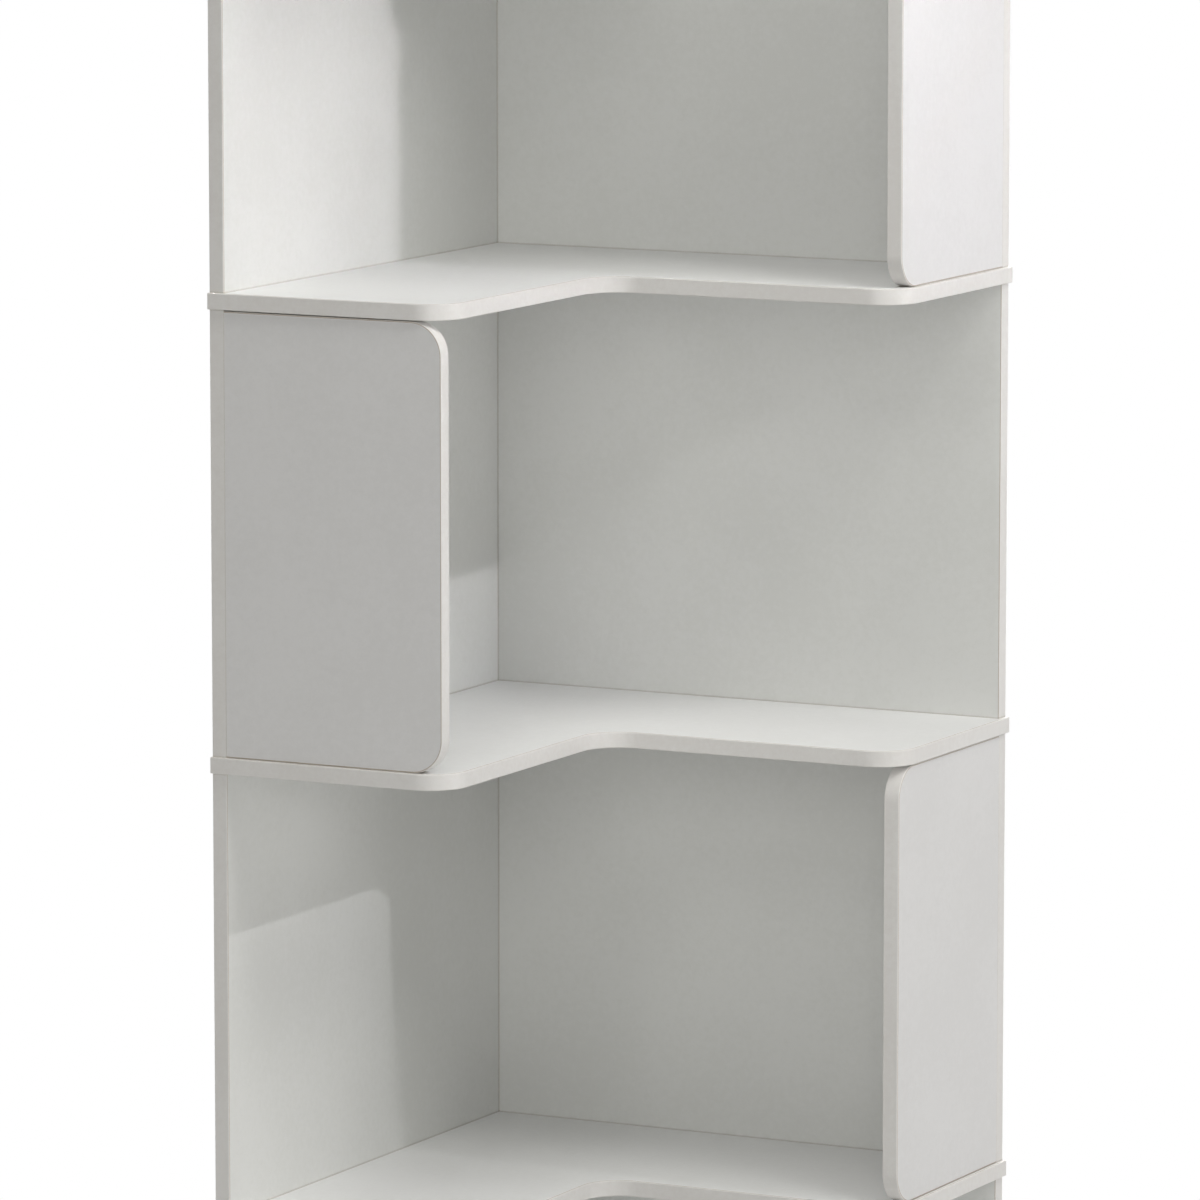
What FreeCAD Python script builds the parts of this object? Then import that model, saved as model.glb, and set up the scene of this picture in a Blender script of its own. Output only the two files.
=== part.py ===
import FreeCAD, Part
import Sketcher
import os
import re

# Corner shelf unit of white faced board, made to stand in the corner of a room.
# L-shaped shelves run through. Each bay between two shelves has a left wall, a back wall and one end panel
# with rounded free corners, and the end panel changes sides from bay to bay.
# Frame: millimetres, +Z up, origin on the floor under the middle of the unit. The room corner is at -X +Y,
# the right wing runs along +X and the left wing along -Y.

panelSides = ("left", "right", "left", "right", "left")
bayCount = len(panelSides)
sides = ("left", "back")
panelWalls = {"left": "left", "right": "back"}

sizeTable = (
    ("boardThickness", 12.0, "every shelf, wall and end panel"),
    ("bayPitch", 340.0, "one shelf top to the next"),
    ("wingLength", 440.0, "shelf, room corner to the end of a wing"),
    ("shelfDepth", 196.0, "shelf wing, rear edge to front edge"),
    ("endOverhang", 3.0, "shelf end beyond the end of its walls"),
    ("frontSetback", 6.0, "shelf front beyond the free edge of an end panel"),
    ("shelfCornerRadius", 29.0, "front corner at the end of each wing"),
    ("innerCornerRadius", 29.0, "hollow corner between the wings"),
    ("panelCornerRadius", 25.0, "free corners of an end panel"),
    ("panelTopGap", 1.0, "end panel to the shelf above it"),
    ("bandThickness", 1.0, "edging on the free edges of every board"),
    ("arrisRadius", 0.8, "rounding of the edging"),
    ("dowelDiameter", 6.0, "wooden dowels"),
    ("dowelChamfer", 0.8, "bevel at the ends of a dowel"),
    ("dowelHoleDepth", 16.0, "dowel hole in a board's edge"),
    ("dowelInset", 108.0, "wall dowel, from either end of the wall line"),
    ("panelDowelInset", 60.0, "end panel dowel, from the free edge"),
    ("holeTipGap", 1.0, "hole beyond the tip of a dowel or a screw"),
    ("holeClearance", 0.3, "hole over the diameter of what it takes"),
    ("blindSkin", 3.0, "board left under a blind hole in a shelf face"),
    ("boltDiameter", 5.6, "connecting bolts"),
    ("boltNeckDiameter", 3.4, "neck behind a bolt head"),
    ("boltHeadLength", 3.2, "head that the cam grips"),
    ("boltNeckLength", 4.0, "neck behind a bolt head, along the bolt"),
    ("boltInset", 68.0, "connecting bolt, from either end of the wall line"),
    ("camDiameter", 12.0, "cam locks in the rear faces of the walls"),
    ("camOffset", 24.0, "cam centre to the edge of the wall"),
    ("camSkin", 2.0, "board left under a cam"),
    ("camRecessWidth", 1.4, "arm of the cross recess in a cam"),
    ("camRecessSpan", 7.0, "cross recess in a cam, tip to tip"),
    ("camRecessDepth", 1.5, "cross recess in a cam"),
    ("screwDiameter", 3.5, "countersunk screws"),
    ("screwHeadDiameter", 6.8, "countersunk screw heads"),
    ("screwLength", 45.0, "countersunk screws, over all"),
    ("screwPointLength", 5.0, "pointed tip of a screw"),
    ("screwRecessWidth", 0.9, "arm of the cross recess in a screw head"),
    ("screwRecessSpan", 3.4, "cross recess in a screw head, tip to tip"),
    ("screwRecessDepth", 1.0, "cross recess in a screw head"),
    ("screwInset", 62.0, "outer screws, from the lower and upper edge"),
    ("glideDiameter", 24.0, "push-in glides under the lowest shelf"),
    ("glideHeight", 5.0, "glide between the floor and the lowest shelf"),
    ("glideBevel", 1.5, "bevel round the foot of a glide"),
    ("glidePegDiameter", 8.0, "peg of a glide"),
    ("glidePegLength", 7.0, "peg of a glide, inside the shelf"),
    ("glideInset", 36.0, "glide centres, from the shelf's edges"),
)

doc = FreeCAD.newDocument("CornerShelfUnit")
sheet = doc.addObject("Spreadsheet::Sheet", "Sizes")
for row, (alias, number, note) in enumerate(sizeTable, 1):
    sheet.set(f"A{row}", note)
    sheet.set(f"B{row}", str(number))
    sheet.setAlias(f"B{row}", alias)
doc.recompute()
size = {alias: float(sheet.get(alias)) for alias, number, note in sizeTable}

# Lengths that several pieces share, as formulas in the sheet's words
wallEnd = "(wingLength - endOverhang)"
wallHeight = "(bayPitch - boardThickness)"
backWallRun = f"({wallEnd} - bandThickness)"
leftWallRun = f"({backWallRun} - boardThickness)"
midBoard = "boardThickness / 2"
panelWidth = "(shelfDepth - boardThickness - frontSetback)"
panelHeight = f"({wallHeight} - panelTopGap)"
blindDepth = "(boardThickness - blindSkin)"
camDepth = "(boardThickness - camSkin)"
boltHole = "boltDiameter + holeClearance"
dowelHole = "dowelDiameter + holeClearance"
screwHole = "screwDiameter + holeClearance"
pegHole = "glidePegDiameter + holeClearance"
boltSpots = ("boltInset", f"{wallEnd} - boltInset")
dowelSpots = ("dowelInset", f"{wallEnd} - dowelInset")
screwHeights = ("screwInset", f"{panelHeight} / 2", f"{panelHeight} - screwInset")
screwPilotDepth = "(screwLength - boardThickness + holeTipGap)"
roundedShare = 0.9  # largest share of an edge band's thickness that its rounding may take
bandArris = f"min(arrisRadius; {roundedShare} * bandThickness)"

# Turns of a flat piece, whose local X is its width, Y its height and Z its thickness, into its place
noTurn = FreeCAD.Rotation()
backTurn = FreeCAD.Rotation(FreeCAD.Vector(1, 0, 0), 90)
leftTurn = FreeCAD.Rotation(FreeCAD.Vector(1, 1, 1), 120)
forwardTurn = FreeCAD.Rotation(FreeCAD.Vector(0, 0, 1), -90) * backTurn
wallTurns = {"left": leftTurn, "back": backTurn}
halfTurn = FreeCAD.Rotation(FreeCAD.Vector(0, 0, 1), 180)
upsideDown = FreeCAD.Rotation(FreeCAD.Vector(1, 0, 0), 180)

subParts = []


def inSheet(formula):
    return re.sub(r"[a-z]\w*\b(?!\()", lambda word: "Sizes." + word[0], formula)


def bind(thing, path, formula):
    thing.setExpression(path, inSheet(formula))


def keep(thing, label):
    thing.Label = label
    subParts.append(thing)
    return thing


def settle(thing, turn, x, y, z):
    thing.Placement = FreeCAD.Placement(FreeCAD.Vector(), turn)
    for axis, formula in zip("xyz", (x, y, z)):
        bind(thing, f"Placement.Base.{axis}", formula)


# Places in plan are given as distances from the rear left face and the rear back face of the unit
def alongX(fromLeft):
    return f"{fromLeft} - wingLength / 2"


def alongY(fromBack):
    return f"wingLength / 2 - ({fromBack})"


def shelfUnderside(level):
    return f"glideHeight + {level} * bayPitch"


def shelfTop(level):
    return f"{shelfUnderside(level)} + boardThickness"


def wallPlace(side, spot, depth):
    """Plan place in a wall: spot along it from the room corner, depth in from its rear face."""
    if side == "left":
        return alongX(depth), alongY(spot)
    return alongX(spot), alongY(depth)


# Sketches and features
def newBody(name):
    return doc.addObject("PartDesign::Body", name)


def newSketch(body, role, lift=None):
    sketch = body.newObject("Sketcher::SketchObject", "Sketch")
    plane = next(feature for feature in body.Origin.OriginFeatures if feature.Role == role)
    sketch.AttachmentSupport = [(plane, "")]
    sketch.MapMode = "FlatFace"
    if lift:
        bind(sketch, "AttachmentOffset.Base.z", lift)
    return sketch


def fixPoint(sketch, geometry, point, place):
    for kind, axis, formula in (("DistanceX", -2, place[0]), ("DistanceY", -1, place[1])):
        if formula == "0":
            sketch.addConstraint(Sketcher.Constraint("PointOnObject", geometry, point, axis))
            continue
        index = sketch.addConstraint(Sketcher.Constraint(kind, -1, 1, geometry, point, 1.0))
        bind(sketch, f"Constraints[{index}]", formula)


def addOutline(sketch, corners):
    """Closed outline of straight lines, drawn roughly on a parabola and moved to its corners by their formulas."""
    count = len(corners)
    start = [FreeCAD.Vector(step, step * step, 0) for step in range(count)]
    for step in range(count):
        sketch.addGeometry(Part.LineSegment(start[step], start[(step + 1) % count]))
    for step in range(count):
        sketch.addConstraint(Sketcher.Constraint("Coincident", step, 2, (step + 1) % count, 1))
    for step, corner in enumerate(corners):
        fixPoint(sketch, step, 1, corner)


def addCircles(sketch, diameter, places):
    for place in places:
        circle = sketch.addGeometry(Part.Circle(FreeCAD.Vector(1, 1, 0), FreeCAD.Vector(0, 0, 1), 1))
        index = sketch.addConstraint(Sketcher.Constraint("Diameter", circle, 2.0))
        bind(sketch, f"Constraints[{index}]", diameter)
        fixPoint(sketch, circle, 3, place)


def rectangle(left, low, right, high):
    return ((left, low), (right, low), (right, high), (left, high))


def cross(width, span):
    """Corners of a plus sign round the origin, anticlockwise from its lower arm."""
    near = f"{width} / 2"
    far = f"{span} / 2"
    minusNear = "-" + near
    minusFar = "-" + far
    return ((near, minusFar), (near, minusNear), (far, minusNear),
            (far, near), (near, near), (near, far),
            (minusNear, far), (minusNear, near), (minusFar, near),
            (minusFar, minusNear), (minusNear, minusNear), (minusNear, minusFar))


def pad(body, sketch, length):
    feature = body.newObject("PartDesign::Pad", "Pad")
    feature.Profile = sketch
    bind(feature, "Length", length)


def newBoard(name, corners):
    """Board lying flat on local z = 0, with straight edges between its corners."""
    body = newBody(name)
    sketch = newSketch(body, "XY_Plane")
    addOutline(sketch, corners)
    pad(body, sketch, "boardThickness")
    return body


def pocket(body, sketch, depth=None, reverse=False):
    feature = body.newObject("PartDesign::Pocket", "Pocket")
    feature.Profile = sketch
    feature.Reversed = reverse
    if depth:
        bind(feature, "Length", depth)
    else:
        feature.Type = "ThroughAll"


def drill(body, role, diameter, places, depth=None, reverse=False, lift=None):
    sketch = newSketch(body, role, lift)
    addCircles(sketch, diameter, places)
    pocket(body, sketch, depth, reverse)


def sinkCross(body, width, span, depth):
    """Cross recess from the body's face at local z = 0."""
    sketch = newSketch(body, "XY_Plane")
    addOutline(sketch, cross(width, span))
    pocket(body, sketch, depth, reverse=True)


def turned(name, corners):
    """Body turned round local Z from corners given as radius and height."""
    body = newBody(name)
    sketch = newSketch(body, "XZ_Plane")
    addOutline(sketch, corners)
    feature = body.newObject("PartDesign::Revolution", "Revolution")
    feature.Profile = sketch
    feature.ReferenceAxis = (sketch, ["V_Axis"])
    feature.Angle = 360
    return body


def dressEdges(body, kind, prop, formula, chosen):
    """Fillet or chamfer on the edges of the body's last feature that chosen() accepts."""
    base = body.Tip
    base.recompute(True)
    names = [f"Edge{n}" for n, edge in enumerate(base.Shape.Edges, 1) if chosen(edge)]
    feature = body.newObject("PartDesign::" + kind, kind)
    feature.Base = (base, names)
    bind(feature, prop, formula)


# Which edge is which, by the place of its ends
placeTolerance = 1e-4


def same(one, other):
    return abs(one - other) < placeTolerance


def liesAt(edge, **place):
    return all(same(getattr(vertex, axis), value) for vertex in edge.Vertexes for axis, value in place.items())


def isCircle(edge, radius):
    return isinstance(edge.Curve, Part.Circle) and same(edge.Curve.Radius, radius)


def onFace(edge):
    return liesAt(edge, Z=0) or liesAt(edge, Z=size["boardThickness"])


# Shelves
def shelfBlank(name, inset):
    """L-shaped board with its rear edges at x = 0 and y = wingLength and its other edges set in by inset."""
    front = f"shelfDepth - {inset}"
    inner = f"wingLength - shelfDepth + {inset}"
    end = f"wingLength - {inset}"
    body = newBoard(name, (("0", inset), (front, inset), (front, inner), (end, inner), (end, "wingLength"),
                           ("0", "wingLength")))
    margin = size.get(inset, 0.0)
    frontX = size["shelfDepth"] - margin
    innerY = size["wingLength"] - size["shelfDepth"] + margin
    endX = size["wingLength"] - margin
    dressEdges(body, "Fillet", "Radius", f"shelfCornerRadius - {inset}",
               lambda edge: liesAt(edge, X=frontX, Y=margin) or liesAt(edge, X=endX, Y=innerY))
    dressEdges(body, "Fillet", "Radius", f"innerCornerRadius + {inset}",
               lambda edge: liesAt(edge, X=frontX, Y=innerY))
    return body


def isShelfRim(edge):
    return onFace(edge) and not liesAt(edge, X=0) and not liesAt(edge, Y=size["wingLength"])


def inShelf(fromLeft, fromBack):
    return fromLeft, f"wingLength - ({fromBack})"


def onWallLines(spots):
    places = [inShelf(midBoard, spot) for spot in spots]
    return places + [inShelf(spot, midBoard) for spot in spots]


def panelDowelSpot(bay):
    across = f"{wallEnd} - {midBoard}"
    along = f"boardThickness + {panelWidth} - panelDowelInset"
    return (along, across) if panelSides[bay] == "left" else (across, along)


glideSpots = (
    ("glideInset", "glideInset"),
    ("wingLength - glideInset", "glideInset"),
    ("wingLength - glideInset", "shelfDepth - glideInset"),
    ("shelfDepth - glideInset", "shelfDepth - glideInset"),
    ("shelfDepth - glideInset", "wingLength - glideInset"),
    ("glideInset", "wingLength - glideInset"),
)


def shelfName(level):
    return {0: "base_shelf", bayCount: "top_shelf"}.get(level, f"shelf_{level + 1}")


def settleShelf(thing, level):
    settle(thing, noTurn, "-wingLength / 2", "-wingLength / 2", shelfUnderside(level))


def makeShelf(level):
    body = shelfBlank("Shelf", "bandThickness")
    fromTop = {"lift": "boardThickness"}
    fromBelow = {"reverse": True}
    openSide = fromTop if level == 0 else fromBelow
    depth = None if 0 < level < bayCount else blindDepth
    drill(body, "XY_Plane", boltHole, onWallLines(boltSpots), depth, **openSide)
    drill(body, "XY_Plane", dowelHole, onWallLines(dowelSpots), depth, **openSide)
    if level < bayCount:
        drill(body, "XY_Plane", dowelHole, [inShelf(*panelDowelSpot(level))], blindDepth, **fromTop)
    if level > 0:
        drill(body, "XY_Plane", dowelHole, [inShelf(*panelDowelSpot(level - 1))], blindDepth, **fromBelow)
    if level == 0:
        pegs = [inShelf(*spot) for spot in glideSpots]
        drill(body, "XY_Plane", pegHole, pegs, "glidePegLength + holeTipGap", **fromBelow)
    settleShelf(body, level)
    keep(body, shelfName(level))


def makeBand(label, outside, core):
    band = doc.addObject("Part::Cut", "EdgeBand")
    band.Base = outside
    band.Tool = core
    return keep(band, label)


shelfOutside = shelfBlank("ShelfOutside", "0")
dressEdges(shelfOutside, "Fillet", "Radius", bandArris, isShelfRim)
shelfCore = shelfBlank("ShelfCore", "bandThickness")
for level in range(bayCount + 1):
    makeShelf(level)
    settleShelf(makeBand(shelfName(level) + "_edge_band", shelfOutside, shelfCore), level)


# Walls, each drawn flat with its rear face at local z = 0
def makeWall(side, bay):
    run = leftWallRun if side == "left" else backWallRun
    body = newBoard("Wall", rectangle("0", "0", run, wallHeight))

    def along(spot):
        return f"{backWallRun} - ({spot})" if side == "left" else spot

    bolts = [along(spot) for spot in boltSpots]
    dowels = [along(spot) for spot in dowelSpots]
    cams = [(x, y) for x in bolts for y in ("camOffset", f"{wallHeight} - camOffset")]
    drill(body, "XY_Plane", "camDiameter + holeClearance", cams, camDepth, reverse=True)
    for edge in ({}, {"reverse": True, "lift": f"-{wallHeight}"}):
        drill(body, "XZ_Plane", boltHole, [(x, midBoard) for x in bolts], "camOffset", **edge)
        drill(body, "XZ_Plane", dowelHole, [(x, midBoard) for x in dowels], "dowelHoleDepth", **edge)

    screwLines = []
    if side == "back":
        screwLines.append(midBoard)
    if panelWalls[panelSides[bay]] == side:
        screwLines.append(along(f"{wallEnd} - {midBoard}"))
    if screwLines:
        drill(body, "XY_Plane", screwHole, [(x, y) for x in screwLines for y in screwHeights], reverse=True)
        rim = (size["screwDiameter"] + size["holeClearance"]) / 2
        dressEdges(body, "Chamfer", "Size", "(screwHeadDiameter - screwDiameter) / 2",
                   lambda edge: liesAt(edge, Z=0) and isCircle(edge, rim))
    if side == "left":
        drill(body, "YZ_Plane", screwHole, [(y, midBoard) for y in screwHeights], screwPilotDepth, lift=run)
    start = backWallRun if side == "left" else "0"
    settle(body, wallTurns[side], *wallPlace(side, start, "0"), shelfTop(bay))
    keep(body, f"{side}_wall_{bay + 1}")


def makeWallBand(side, bay):
    body = newBoard("WallBand", rectangle("0", "0", "bandThickness", wallHeight))
    outer = size["bandThickness"]
    dressEdges(body, "Fillet", "Radius", bandArris, lambda edge: onFace(edge) and liesAt(edge, X=outer))
    if side == "left":
        settle(body, forwardTurn, alongX("boardThickness"), alongY(backWallRun), shelfTop(bay))
    else:
        settle(body, backTurn, alongX(backWallRun), alongY("0"), shelfTop(bay))
    keep(body, f"{side}_wall_{bay + 1}_edge_band")


for bay in range(bayCount):
    for side in sides:
        makeWall(side, bay)
        makeWallBand(side, bay)


# End panels, each drawn flat with the edge that meets its wall at local x = 0
def panelBlank(name, inset):
    body = newBoard(name, rectangle("0", inset, f"{panelWidth} - {inset}", f"{panelHeight} - {inset}"))
    free = size["shelfDepth"] - size["boardThickness"] - size["frontSetback"] - size.get(inset, 0.0)
    dressEdges(body, "Fillet", "Radius", f"panelCornerRadius - {inset}",
               lambda edge: liesAt(edge, X=free) and not onFace(edge))
    return body


def isPanelRim(edge):
    return onFace(edge) and not liesAt(edge, X=0)


def drillPanelDowels(body):
    spot = [(f"{panelWidth} - panelDowelInset", midBoard)]
    for edge in ({}, {"reverse": True, "lift": f"-{panelHeight}"}):
        drill(body, "XZ_Plane", dowelHole, spot, "dowelHoleDepth", **edge)


def settlePanel(thing, bay):
    if panelSides[bay] == "left":
        inner = f"{wallEnd} - boardThickness"
        settle(thing, backTurn, alongX("boardThickness"), alongY(inner), shelfTop(bay))
    else:
        settle(thing, forwardTurn, alongX(wallEnd), alongY("boardThickness"), shelfTop(bay))


panelOutside = panelBlank("PanelOutside", "0")
dressEdges(panelOutside, "Fillet", "Radius", bandArris, isPanelRim)
drillPanelDowels(panelOutside)
panelCore = panelBlank("PanelCore", "bandThickness")
for bay, side in enumerate(panelSides):
    label = f"{side}_end_panel_{bay + 1}"
    panel = panelBlank("EndPanel", "bandThickness")
    drillPanelDowels(panel)
    drill(panel, "YZ_Plane", screwHole, [(y, midBoard) for y in screwHeights], screwPilotDepth, reverse=True)
    settlePanel(panel, bay)
    keep(panel, label)
    settlePanel(makeBand(label + "_edge_band", panelOutside, panelCore), bay)


# Fasteners and glides: one pattern piece each, copied to its places as a group
def group(label, pattern, places):
    copies = []
    for turn, x, y, z in places:
        copy = doc.addObject("App::Link", pattern.Name + "Copy")
        copy.LinkedObject = pattern
        settle(copy, turn, x, y, z)
        copies.append(copy)
    compound = doc.addObject("Part::Compound", "Group")
    compound.Links = copies
    keep(compound, label)


def makeDowel(name, length):
    radius = "dowelDiameter / 2"
    tip = f"{radius} - dowelChamfer"
    return turned(name, (("0", "0"), (tip, "0"), (radius, "dowelChamfer"), (radius, f"{length} - dowelChamfer"),
                         (tip, length), ("0", length)))


def boltTop(high):
    """Corners of the upper neck and head of a bolt that ends at high."""
    low = f"{high} - {boltGrip}"
    shoulder = f"{high} - boltHeadLength"
    return ((boltRadius, low), (neckRadius, low), (neckRadius, shoulder), (boltRadius, shoulder),
            (boltRadius, high), ("0", high))


dowelReach = "(dowelHoleDepth - holeTipGap)"
blindReach = f"({blindDepth} - holeTipGap)"
throughDowel = makeDowel("ThroughDowel", f"(boardThickness + 2 * {dowelReach})")
blindDowel = makeDowel("BlindDowel", f"({blindReach} + {dowelReach})")
wallDowels = [wallPlace(side, spot, midBoard) for side in sides for spot in dowelSpots]
group("through_dowels", throughDowel, [
    (noTurn, x, y, f"{shelfUnderside(level)} - {dowelReach}")
    for level in range(1, bayCount) for x, y in wallDowels])
lowDowels = [(0, place) for place in wallDowels]
highDowels = [(bayCount, place) for place in wallDowels]
for bay in range(bayCount):
    fromLeft, fromBack = panelDowelSpot(bay)
    place = (alongX(fromLeft), alongY(fromBack))
    lowDowels.append((bay, place))
    highDowels.append((bay + 1, place))
group("blind_dowels", blindDowel,
      [(noTurn, *place, f"{shelfTop(level)} - {blindReach}") for level, place in lowDowels]
      + [(noTurn, *place, f"{shelfUnderside(level)} - {dowelReach}") for level, place in highDowels])

boltRadius = "boltDiameter / 2"
neckRadius = "boltNeckDiameter / 2"
boltGrip = "(boltHeadLength + boltNeckLength)"
headReach = "(camOffset + boltHeadLength / 2)"
boltFoot = (("0", "0"), (boltRadius, "0"))
lowerGrip = ((boltRadius, "boltHeadLength"), (neckRadius, "boltHeadLength"), (neckRadius, boltGrip),
             (boltRadius, boltGrip))
doubleBolt = turned("DoubleBolt", boltFoot + lowerGrip + boltTop(f"(boardThickness + 2 * {headReach})"))
endBolt = turned("EndBolt", boltFoot + boltTop(f"({blindReach} + {headReach})"))
wallBolts = [wallPlace(side, spot, midBoard) for side in sides for spot in boltSpots]
group("double_ended_bolts", doubleBolt, [
    (noTurn, x, y, f"{shelfUnderside(level)} - {headReach}")
    for level in range(1, bayCount) for x, y in wallBolts])
group("end_bolts", endBolt,
      [(noTurn, x, y, f"{shelfTop(0)} - {blindReach}") for x, y in wallBolts]
      + [(upsideDown, x, y, f"{shelfUnderside(bayCount)} + {blindReach}") for x, y in wallBolts])

camLock = newBody("CamLock")
camSketch = newSketch(camLock, "XY_Plane")
addCircles(camSketch, "camDiameter", [("0", "0")])
pad(camLock, camSketch, f"{camDepth} - holeClearance")
sinkCross(camLock, "camRecessWidth", "camRecessSpan", "camRecessDepth")
drill(camLock, "XZ_Plane", boltHole, [("0", f"{midBoard} - holeClearance")], reverse=True,
      lift="-(boltHeadLength / 2 + holeTipGap)")
group("cam_locks", camLock, [
    (wallTurns[side] * spin, *wallPlace(side, spot, "holeClearance"), height)
    for bay in range(bayCount) for side in sides for spot in boltSpots
    for spin, height in ((noTurn, f"{shelfTop(bay)} + camOffset"),
                         (halfTurn, f"{shelfUnderside(bay + 1)} - camOffset"))])

shank = "screwDiameter / 2"
screw = turned("Screw", (("0", "0"), ("screwHeadDiameter / 2", "0"),
                         (shank, "(screwHeadDiameter - screwDiameter) / 2"),
                         (shank, "screwLength - screwPointLength"), ("0", "screwLength")))
sinkCross(screw, "screwRecessWidth", "screwRecessSpan", "screwRecessDepth")
group("corner_screws", screw, [
    (backTurn, *wallPlace("back", midBoard, "0"), f"{shelfTop(bay)} + {height}")
    for bay in range(bayCount) for height in screwHeights])
group("panel_screws", screw, [
    (wallTurns[panelWalls[side]], *wallPlace(panelWalls[side], f"{wallEnd} - {midBoard}", "0"),
     f"{shelfTop(bay)} + {height}")
    for bay, side in enumerate(panelSides) for height in screwHeights])

glideRadius = "glideDiameter / 2"
pegRadius = "glidePegDiameter / 2"
pegTop = "glideHeight + glidePegLength"
glide = turned("Glide", (("0", "0"), (f"{glideRadius} - glideBevel", "0"), (glideRadius, "glideBevel"),
                         (glideRadius, "glideHeight"), (pegRadius, "glideHeight"), (pegRadius, pegTop),
                         ("0", pegTop)))
group("glides", glide, [(noTurn, alongX(x), alongY(y), "0") for x, y in glideSpots])

# Nothing is written unless every feature is sound and every cut removed material
doc.recompute()
for thing in doc.Objects:
    if "Invalid" in thing.State or "Error" in thing.State:
        raise RuntimeError(f"{thing.Label} did not recompute")
for cut in doc.findObjects("PartDesign::Pocket"):
    if not cut.Shape.Volume < cut.BaseFeature.Shape.Volume:
        raise RuntimeError(f"{cut.Label} of {cut.getParentGeoFeatureGroup().Label} cuts nothing")
for part in subParts:
    if part.Shape.isNull() or not part.Shape.isValid():
        raise RuntimeError(f"{part.Label} has no sound shape")
os.makedirs("parts", exist_ok=True)
for part in subParts:
    part.Shape.exportStep(f"parts/{part.Label}.step")
print(len(subParts), "nodes with", sum(len(part.Shape.Solids) for part in subParts), "solids")
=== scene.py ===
import math
import random

import bpy
from mathutils import Matrix, Vector


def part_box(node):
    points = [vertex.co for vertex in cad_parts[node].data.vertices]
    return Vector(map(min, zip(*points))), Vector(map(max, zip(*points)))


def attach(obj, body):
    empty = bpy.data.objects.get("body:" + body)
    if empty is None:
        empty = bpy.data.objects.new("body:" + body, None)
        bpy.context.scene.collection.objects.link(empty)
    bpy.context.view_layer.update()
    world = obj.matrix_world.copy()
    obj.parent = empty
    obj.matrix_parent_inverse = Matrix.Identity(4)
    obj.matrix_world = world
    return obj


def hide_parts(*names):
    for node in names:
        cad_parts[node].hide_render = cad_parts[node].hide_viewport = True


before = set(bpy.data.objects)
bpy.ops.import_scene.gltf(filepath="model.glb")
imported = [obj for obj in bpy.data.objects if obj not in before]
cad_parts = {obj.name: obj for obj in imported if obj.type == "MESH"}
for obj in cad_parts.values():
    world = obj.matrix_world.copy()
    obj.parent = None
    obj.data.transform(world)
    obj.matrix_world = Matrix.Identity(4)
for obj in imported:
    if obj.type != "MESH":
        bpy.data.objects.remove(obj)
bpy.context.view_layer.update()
print("frame loaded:", len(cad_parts), "nodes")

mm = 0.001
# edge bands are left out here, because each is named after its board
nodeNames = sorted(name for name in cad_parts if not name.endswith("_edge_band"))
shelfNames = sorted((name for name in nodeNames if "shelf" in name), key=lambda name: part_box(name)[0].z)
panelNames = [name for name in nodeNames if "_end_panel_" in name]
wallNames = [name for name in nodeNames if "_wall_" in name]

# sizes of the whole unit, and where its faces lie
unit = {"wing": 440 * mm, "depth": 196 * mm, "board": 12 * mm, "overhang": 3 * mm, "setback": 6 * mm}
rear = -unit["wing"] / 2  # x of the left rear face, and minus y of the back rear face
front = rear + unit["depth"]
end = -rear

numberSocket = "NodeSocketFloat"
countSocket = "NodeSocketInt"
vectorSocket = "NodeSocketVector"
meshSocket = "NodeSocketGeometry"
materialSocket = "NodeSocketMaterial"


# small helpers for node trees: feeds are sockets to link or plain values to set
def addNode(tree, kind, feeds=None, **settings):
    node = tree.nodes.new(kind)
    for name, value in settings.items():
        setattr(node, name, value)
    for key, value in (feeds or {}).items():
        socket = node.inputs[key]
        if isinstance(value, bpy.types.NodeSocket):
            tree.links.new(value, socket)
        else:
            socket.default_value = value
    return node


def calc(tree, kind, first, second=0.0):
    return addNode(tree, "ShaderNodeMath", {0: first, 1: second}, operation=kind).outputs[0]


def spread(tree, value, low, high, fromLow=0.0, fromHigh=1.0, ease="LINEAR"):
    feeds = {"Value": value, "From Min": fromLow, "From Max": fromHigh, "To Min": low, "To Max": high}
    return addNode(tree, "ShaderNodeMapRange", feeds, interpolation_type=ease).outputs[0]


def blendColours(tree, factor, first, second):
    feeds = {0: factor, 6: first, 7: second}  # by place, because the labels are repeated for each kind
    return addNode(tree, "ShaderNodeMix", feeds, data_type="RGBA").outputs[2]


def addNoise(tree, place, **settings):
    return addNode(tree, "ShaderNodeTexNoise", {"Vector": place, **settings}).outputs[0]


def addBump(tree, height, strength, distance):
    feeds = {"Height": height, "Strength": strength, "Distance": distance}
    return addNode(tree, "ShaderNodeBump", feeds).outputs[0]


def objectPlace(tree):
    return addNode(tree, "ShaderNodeTexCoord").outputs["Object"]


def newGroup(name, kind, inputs, outputs):
    tree = bpy.data.node_groups.new(name, kind)
    for label, socketKind, value in inputs:
        socket = tree.interface.new_socket(label, in_out="INPUT", socket_type=socketKind)
        if value is not None:
            socket.default_value = value
    for label, socketKind in outputs:
        tree.interface.new_socket(label, in_out="OUTPUT", socket_type=socketKind)
    return tree, addNode(tree, "NodeGroupInput").outputs, addNode(tree, "NodeGroupOutput").inputs


def placeGroup(tree, group, feeds):
    return addNode(tree, "ShaderNodeGroup", feeds, node_tree=group).outputs


# pressed facing: fine peel, broad clouds, smudges, and a tone of clouds with flecks over them
facingTexture = {
    "peel": {"Detail": 2.0, "Roughness": 0.55},
    "cloud": {"Detail": 4.0, "Roughness": 0.6},
    "smudge": {"Scale": 23.0, "Detail": 3.0, "Distortion": 0.8},
    "fleck": {"Scale": 210.0, "Detail": 3.0, "Roughness": 0.7},
    "cloudRange": (0.35, 0.65), "fleckRange": (-1.6, 1.6),
}


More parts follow.
